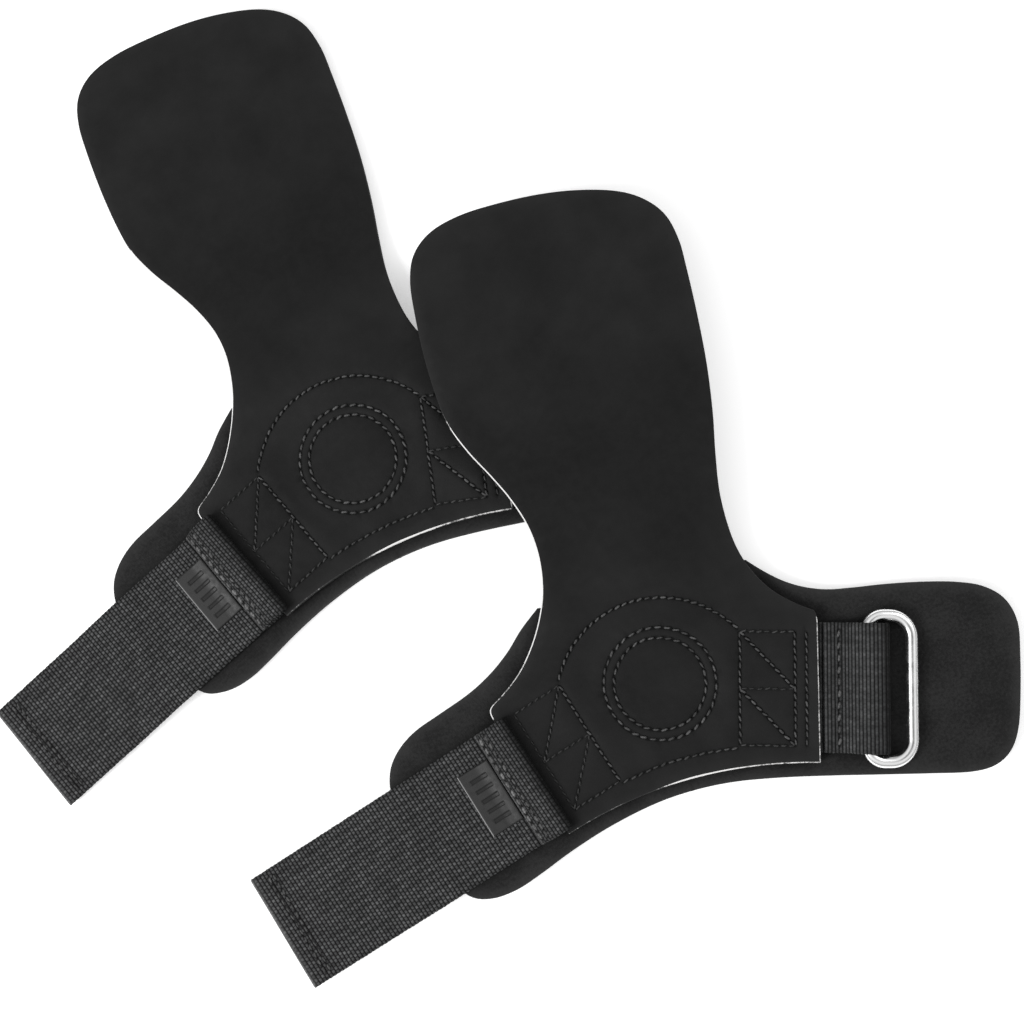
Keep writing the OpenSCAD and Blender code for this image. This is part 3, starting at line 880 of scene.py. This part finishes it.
def flap_top(g, p):
    """The height of the leather's face at points."""
    run = eased(g["run"], p[:, 1]) + FLAP_T
    sag = 1.05 * (1 - covered(p))
    wave = 0.09 * rough_noise(p[:, 0], p[:, 1], 34, g["seed"]) * ease((p[:, 1] - 32) / 12)
    dome = 0.35 * np.maximum(0, 1 - (np.linalg.norm(p, axis=1) / 13.2) ** 2)
    return run - sag + wave + dome


def edge_facts(ring):
    """How wide the rounded cut edge is, and how pale it shows, by where it faces: its pale core,
    with painted light where it faces the key light, to the left and down.
    """
    n = outward(ring)
    x, y = ring[:, 0], ring[:, 1]
    facing_left, facing_right = np.clip(-n[:, 0], 0, 1), np.clip(n[:, 0], 0, 1)
    shoulder = 1 - ease((y - 30) / 30)
    waist = ease((y - 18) / 20) * (1 - ease((y - 84) / 16))
    left_side = 0.05 + facing_left * 0.76 * np.maximum(shoulder, waist) * (y > 3.5)
    hem = np.clip(-n[:, 1], 0, 1) * (y < -20)
    # painted light along the hem's edge, brightest in its middle
    middle = np.exp(-((x - 2) / 9.5) ** 2)
    hem_pale = 0.16 + 0.84 * middle + 0.36 * ease((x - 6) / 8) + 0.17 * ease((-x - 16) / 8)
    right_end = facing_right * (x > 36) * (y < 6) * 0.55
    right_side = facing_right * (y < 26) * 0.16
    pale = np.maximum.reduce([left_side, hem * hem_pale, right_end, right_side])
    pale = np.clip(pale + facing_left * 0.05, 0, 1)
    return 0.2 + np.where(hem > 0, 0.36, 0.24) * pale, pale


def make_flap(grip):
    g = GRIPS[grip]
    top = lambda p: flap_top(g, p)

    def holes(p):
        away, which = nearest(p, HOLES)
        return HOLE_DEPTH[which] * np.exp(-(away / PIT_R) ** 2)

    def dented(p):
        groove = GROOVE_DEPTH * np.exp(-(distance(p, ROW_POINTS) / GROOVE_R) ** 2)
        return top(p) - (groove + PIT_DEPTH * holes(p))

    width, pale = edge_facts(FLAP_RING)
    curl = np.meshgrid(np.arange(-36, 37, 2.2), np.arange(PADDLE_FOLD, 48, 1.1))
    extra = np.vstack([beside_rows(), np.stack([c.ravel() for c in curl], 1)])
    v, f, kind = slab(FLAP_RING, dented, lambda p: top(p) - FLAP_T, 2.6, (width, 0.5),
                      (0.25, 0.3), extra, low_step=2.4)
    by_ring = np.outer((1.0, 1.0, 0.9, 0.6, 0.3, 0.3, 0.3), pale).ravel()    # slab's edge rings
    edge = np.concatenate([by_ring, np.zeros(len(v) - len(by_ring))])
    rim = np.exp(-distance(v, FLAP_RING) / 1.6)
    s, past = beside_web(v[:, :2], left)
    away = np.maximum(FOLD_NOSE - s, 0)
    # painted shadow that the band's raised fold casts on the leather beside it
    band_shadow = 0.7 * np.exp(-away / 2.4) + 0.3 * np.exp(-(away / 8) ** 2)
    band_shadow = np.where(s > FOLD_NOSE - 22, band_shadow * (1 - ease((past + 1) / 4)), 0)
    # the leather is darker at the waist and inside the stitched circle
    waist = 0.72 * np.exp(-((v[:, 1] - 68) / 27) ** 2)
    circle = 0.28 * (np.linalg.norm(v[:, :2], axis=1) < 13)
    # painted shade in the needle holes, on the leather's face
    hole_shade = np.where(v[:, 2] > top(v[:, :2]) - FLAP_T / 2, holes(v), 0)
    obj = piece(grip, "flap_leather", v, f, "leather edge", "flap paddle",
                "paddle_fold", v[:, :2] + g["seed"] * 7.3,
                {"edge": edge, "rim": rim, "hole": hole_shade,
                 "shade": np.maximum.reduce([band_shadow, waist, circle])}, kinds=kind)
    sew(grip, "flap_threads", "thread", "flap_stitching", "cuff", plain, SPANS, 0.3,
        lambda p: top(p) - 0.19, 0, bow=0.22, sink=0.42, showing=SHOWING, slant=0.2)


# ---- the cuff and its pad
LAYERS = [  # name, underside, top, slot, mesh step, rounding at the top and at the bottom
    ("lining", 0.0, SKIN_T, "jersey_lining", 3.0, (0.12, 0.15), (0.45, 0.45)),
    ("foam", SKIN_T, CUFF_T - SKIN_T, "neoprene", 5.0, (0.1, 0.1), (0.1, 0.1)),
    ("face", CUFF_T - SKIN_T, CUFF_T, "jersey_face", 3.0, (0.55, 0.45), (0.1, 0.12))]


def make_cuff(grip):
    seed = GRIPS[grip]["seed"]
    for side, sign, web_end in (("left", -1, STRAP_END), ("right", 1, LOOP_END)):
        ring, seam = half_cuff(sign)
        lay, fold, straight = BENDS[f"{side}_fold"][2:]
        extra = fold_rows(fold - 1, straight + 1, lay)
        for name, z0, z1, slot, step, high, low in LAYERS:
            def top(p):
                if name != "face":
                    return z1 + 0 * p[:, 0]
                wave = 0.1 * rough_noise(p[:, 0], p[:, 1], 26, seed + 3)
                return z1 + wave * ease((np.abs(p[:, 0]) - 4) / 10)

            rounding = [(np.where(seam, 0.0, width), depth) for width, depth in (high, low)]
            v, f, _ = slab(ring, top, lambda p: z0 + 0 * p[:, 0], step, *rounding, extra, seam=seam)
            # painted sheen along the rounded rim
            from_rim = distance(v, ring[~seam])
            rim = np.exp(-from_rim / 1.1) + 0.16 * np.exp(-from_rim / 8)
            # painted shadow on the cuff beside the webbing and the flap
            s, past = beside_web(v[:, :2], lay)
            past = np.maximum(np.maximum(past, s - web_end), 0)
            web_shadow = np.exp(-past / 2.0) * (s > 30)
            flap_shadow = np.exp(-distance(v, FLAP_RING) / 1.7)
            nodes = f"{side}_lobe_{name}" + (f" cuff_{name}" if side == "right" else "")
            obj = piece(grip, f"cuff_{name}_{side}", v, f, name, nodes, f"{side}_fold",
                        v[:, :2] + seed * 3.1,
                        {"edge": rim, "shade": np.maximum(flap_shadow, web_shadow)}, sharp=50)


def make_pad(grip):
    """The round pad under the stitched circles, with a full side and a slight crown."""
    sides, side = 48, np.radians([20, 45, 70, 90, 110, 135, 160])
    under, over = np.linspace(0.02, 11.8, 9), np.linspace(11.8, 0.02, 6)
    r = np.concatenate([under, 12.4 + 0.6 * np.sin(side), over])[:, None]
    z = np.concatenate([4.02 + 0 * under, 4.66 - 0.6 * np.cos(side), 5.26 - 0.1 * (over / 13) ** 2])
    a = np.linspace(0, math.tau, sides, endpoint=False)
    v = np.stack([r * np.cos(a), r * np.sin(a), np.repeat(z[:, None], sides, 1)], -1).reshape(-1, 3)
    obj = piece(grip, "wrist_padding", v, list(lattice(len(r), sides)) + end_caps(len(r), sides),
                "pad", "wrist_pad", "cuff", v[:, :2])


# ---- the ring and its loop
def make_loop(grip):
    """The webbing from under the leather round the ring's bar, and the seam that closes it."""
    r = WIRE_R + LOOP_GAP + WEB_T / 2
    low = CUFF_T + WEB_T / 2 + 0.02
    high = low + WEB_T + 0.04
    nose = arc((LOOP_END - WIRE_R - LOOP_GAP - WEB_T, BAR_Z), r, -90, 90, 24)
    path = np.vstack([
        smooth([(21, low), (35, low), (50, low), (56, low), (60, low - 0.02), nose[0]], 12),
        nose[1:-1],
        smooth([nose[-1], (60.7, BAR_Z + r - 0.12), (57.2, 8.1), (54.5, 6.55),
                (SEAM_AT, high), (50, high), (47.9, high)], 12)])
    spans = across(SEAM_AT, right, 17.4, 3.4, 0.6)
    pits = needle_hole_shade(spans, 0.8)

    # painted shade where the webbing turns down round the bar and in the needle holes; darker round
    # the seam
    def shade(v):
        s = v[:, 0]
        return np.maximum.reduce([
            0.35 * ease((s - LOOP_END + 8) / 6), 0.8 * ease((s - LOOP_END + 3) / 1.5),
            0.35 * np.exp(-((s - SEAM_AT + 1.2) / 2.6) ** 2), pits(v)])

    strip(grip, "ring_webbing", resample(path, RIB["loop"] / 5), WEB_T, "loop",
          "ring_loop ring_anchor", "right_fold", "folded", "cuff_face_right",
          relief=0.17, shade=shade)
    sew(grip, "ring_seam_threads", "seam_thread", "ring_stitching", "right_fold", right, spans,
        0.4, lambda p: high + WEB_T / 2 + 0 * p[:, 0], 1, bow=0.2, sink=0.5, slant=-0.25)


def make_ring(grip):
    """The steel ring, leaning from its bar in the loop down to the cuff."""
    half, span = RING_LEN / 2 - WIRE_R, RING_W - 2 * WIRE_R
    ri, ro = INNER_CORNER, OUTER_CORNER
    corners = [arc(centre, r, start, start + 90, steps) for centre, r, start, steps in (
        ((ri, ri - half), ri, 180, 14), ((span - ro, ro - half), ro, 270, 18),
        ((span - ro, half - ro), ro, 0, 18), ((ri, half - ri), ri, 90, 14))]
    flat = np.vstack([run[:-1] for k in range(4) for run in (
        line(corners[k - 1][-1], corners[k][0], step=1.2), corners[k])])
    centres = np.column_stack([
        BAR_AT + GRIPS[grip]["ring_out"] + flat[:, 0] * math.cos(RING_TILT),
        WEB_MID + flat[:, 1], BAR_Z - flat[:, 0] * math.sin(RING_TILT)])
    v, f = tube(centres, WIRE_R + 0.09, 28, closed=True)
    piece(grip, "steel_ring", right(v), f, "steel", "ring", "ring", v)


# ---- the strap
def strap_mid(s):
    """The height of the middle of the strap's webbing."""
    return eased(STRAP_RUN, s) + WEB_T / 2


def make_strap_base(grip):
    """The webbing sewn under the leather, and the band that folds back over its end."""
    low = CUFF_T + 0.6
    root = np.array([(23.5, low), (FOLD_END - 0.1, low)])
    strip(grip, "strap_root", resample(root, 0.6), 1.15, "band", "strap_anchor", "left_fold",
          "laid", "cuff_face_left", relief=0.06)

    nose = arc((45.9, 9.28), 1.03, 270, 90, 14)
    over = [(48.6, 10.33), (50.8, 9.95), (52.9, 8.75), (54.3, 7.45), (FOLD_END, 6.85)]
    path = np.vstack([smooth([(FOLD_END - 0.1, 5.76), (52.6, 5.78), (50.6, 6.5), (49.2, 7.8),
                              (47.6, 8.25), nose[0]], 10), nose[1:-1],
                      smooth([nose[-1], *over], 10)])
    spans = across(54.3, left, 17.6, 3.0, 0.76) + across(52.2, left, 17.6, 2.6, 0.76)
    pits = needle_hole_shade(spans, 0.65)
    # painted shade where the band turns down at its nose, and in the needle holes
    strip(grip, "strap_band", resample(path, RIB["band"] / 6), 1.14, "band", "strap_fold",
          "left_fold", "folded", "flap_leather", skew=WEFT_SLANT,
          shade=lambda v: np.maximum(1 - ease((v[:, 0] - FOLD_NOSE + 0.4) / 4.6), pits(v)),
          frayed=lambda v: 0.3 * np.exp(-np.abs(v[:, 0] - FOLD_END) / 0.5) * (v[:, 2] > 6.3))
    at, z = [s for s, _ in over], [10.9, 10.52, 9.3, 8.0, 7.42]
    sew(grip, "band_threads", "band_thread", "strap_stitching", "left_fold", left, spans, 0.5,
        lambda p: np.interp(p[:, 0], at, z) + 0.05, 2, bow=0.22, sink=0.5,
        showing=[1.0 if a[0] > 53 else 0.4 for a, _ in spans])


def make_strap(grip):
    s = np.append(np.arange(STRAP_START, STRAP_END, 0.5), STRAP_END)
    spans = [span for row in (5.4, 7.2) for span in across(STRAP_END - row, left, 17, 2.6, 0.7)]
    pits = needle_hole_shade(spans, 0.7)
    # painted shade in the needle holes, and a painted shadow at the strap's start under the band's
    # end
    strip(grip, "strap_webbing", resample(np.column_stack([s, strap_mid(s)]), RIB["strap"] / 6),
          WEB_T, "strap", "strap", "strap_fold", "laid", "cuff_face_left", relief=0.13,
          skew=WEFT_SLANT,
          shade=lambda v: np.maximum(0.9 * pits(v), 0.8 * np.exp((STRAP_START - v[:, 0]) / 0.7)),
          frayed=lambda v: np.exp((v[:, 0] - STRAP_END) / 0.45))
    sew(grip, "strap_end_threads", "end_thread", "", "strap", left, spans, 0.3,
        lambda p: strap_mid(p[:, 0]) + WEB_T / 2 + 0.02, 4)
    make_patch(grip, "loop_patch", 91.0, 112.0, "pile")
    make_patch(grip, "hook_patch", STRAP_END - 21, STRAP_END - 1, "hook")
    make_label(grip)


def make_patch(grip, name, s0, s1, material):
    """A fastening patch under the strap, with its pile or its hooks as small bumps."""
    rows, cols, half = 60, 90, 17
    s, n = np.meshgrid(np.linspace(s0, s1, rows), np.linspace(-half, half, cols), indexing="ij")
    rim = np.minimum.reduce([s - s0, s1 - s, n + half, half - n])
    if material == "pile":
        r = random.Random(GRIPS[grip]["seed"] + 7)
        tuft = np.array([[r.uniform(0, 1) for _ in range(cols)] for _ in range(rows)])
        relief = 0.55 + 0.35 * tuft
    else:
        relief = 0.35 + 0.65 * (np.cos(s * math.tau / 1.5) * np.cos(n * math.tau / 1.7) > 0.35)
    depth = 1.1 * np.where(rim < 0.9, 0.3 + 0.2 * rim, relief)
    under = strap_mid(s) - WEB_T / 2 - 0.03
    v, f = plate(s, n + STRAP_MID, under, under - depth)
    piece(grip, f"strap_{name}", left(v), f, material, name, "strap", v[:, :2])


def make_label(grip):
    """A moulded rubber tab with a plain pattern of bars."""
    s0, length, width, rows, cols = 55.75, 11.0, 20.7, 56, 98
    bar_half, bar_pitch, bar_end, bars_end = 0.62, 3.3, 2.9, 7.6
    u, w = np.meshgrid(np.linspace(0, 1, rows), np.linspace(0, 1, cols), indexing="ij")
    s, n = s0 + u * length, (w - 0.5) * width
    rim = np.minimum(np.minimum(u, 1 - u) * length, np.minimum(w, 1 - w) * width)
    from_bar = np.abs((n + bar_pitch / 2) % bar_pitch - bar_pitch / 2)
    # the sunk bars, also darkened with painted shade in the material
    sunk_in_shade = (np.abs(n) < bars_end) & (from_bar < bar_half) & (np.abs(s - s0 - length / 2) < bar_end)
    height = 0.78 - 0.34 * sunk_in_shade - 0.55 * np.clip(1 - rim / 0.45, 0, 1) ** 2
    skin = strap_mid(s) + WEB_T / 2
    v, f = plate(s, n + LABEL_MID, skin + height + 0.08, skin - 0.05)
    # edge: a painted highlight along the tab's far edge
    piece(grip, "strap_label", left(v), f, "label", "label", "strap_fold",
          v[:, :2], {"sunk_in_shade": np.concatenate([sunk_in_shade.ravel(), np.zeros(sunk_in_shade.size)]),
                     "edge": np.tile((u > 0.97).ravel(), 2)})


for grip in GRIPS:
    for make in (make_cuff, make_pad, make_flap, make_loop, make_ring, make_strap_base, make_strap):
        make(grip)


# ---- floor, light and camera
def make_stage():
    floor_mat = Shader("pale_floor", base=grey(0.88), rough=0.9, spec=0.1)
    floor_mat.b.inputs["Emission Color"].default_value = grey(1.0)
    floor_mat.b.inputs["Emission Strength"].default_value = 0.42
    mesh = bpy.data.meshes.new("floor")
    e, z = 40.0, -0.0004
    mesh.from_pydata([(-e, -e, z), (e, -e, z), (e, e, z), (-e, e, z)], [], [(0, 1, 2, 3)])
    mesh.materials.append(floor_mat.mat)
    in_scene("floor", mesh)

    # the world is bright all round, with dark bands for the steel to reflect
    world = bpy.data.worlds.new("studio")
    bpy.context.scene.world = world
    world.use_nodes = True
    nodes, links = world.node_tree.nodes, world.node_tree.links
    back = nodes["Background"]
    back.inputs["Strength"].default_value = 0.85
    coord, split, ramp = (nodes.new(f"ShaderNode{kind}")
                          for kind in ("TexCoord", "SeparateXYZ", "ValToRGB"))
    links.new(coord.outputs["Generated"], split.inputs[0])
    links.new(split.outputs["Z"], ramp.inputs[0])
    links.new(ramp.outputs[0], back.inputs["Color"])
    stops = ramp.color_ramp.elements
    stops[0].color, stops[1].color = grey(1.0), grey(0.25)
    for at, level in ((0.08, 1.0), (0.12, 0.32), (0.4, 0.55), (0.7, 1.0), (0.93, 1.0),
                      (0.968, 0.3)):
        stops.new(at).color = grey(level)

    for name, at, size, power in (("key", (-0.75, -0.45, 0.8), 0.5, 9.0),
                                  ("fill", (0.9, 0.5, 0.9), 0.8, 3.0)):
        light = bpy.data.lights.new(name, "AREA")
        light.shape, light.size, light.energy = "DISK", size, power
        obj = in_scene(name, light)
        obj.location = at
        obj.rotation_euler = (-Vector(at)).to_track_quat("-Z", "Y").to_euler()


def make_camera():
    """A camera almost straight above, 450 mm from the point it looks at."""
    target = Vector((7.94, -8.25, 6.0)) * MM
    back = Vector((math.tan(math.radians(6.9)), math.tan(math.radians(-3.4)), 1)).normalized()
    x = Vector((0, 1, 0)).cross(back).normalized()
    data = bpy.data.cameras.new("camera")
    data.sensor_width, data.lens = 36.0, 36.0 * 1489.5 / 1024
    data.clip_start, data.clip_end = 0.01, 20
    cam = in_scene("camera", data)
    m = Matrix((x, back.cross(x), back)).transposed().to_4x4()
    m.translation = target + back * 450 * MM
    cam.matrix_world = m
    bpy.context.scene.camera = cam


make_stage()
make_camera()
bpy.context.scene.view_settings.view_transform = "Standard"
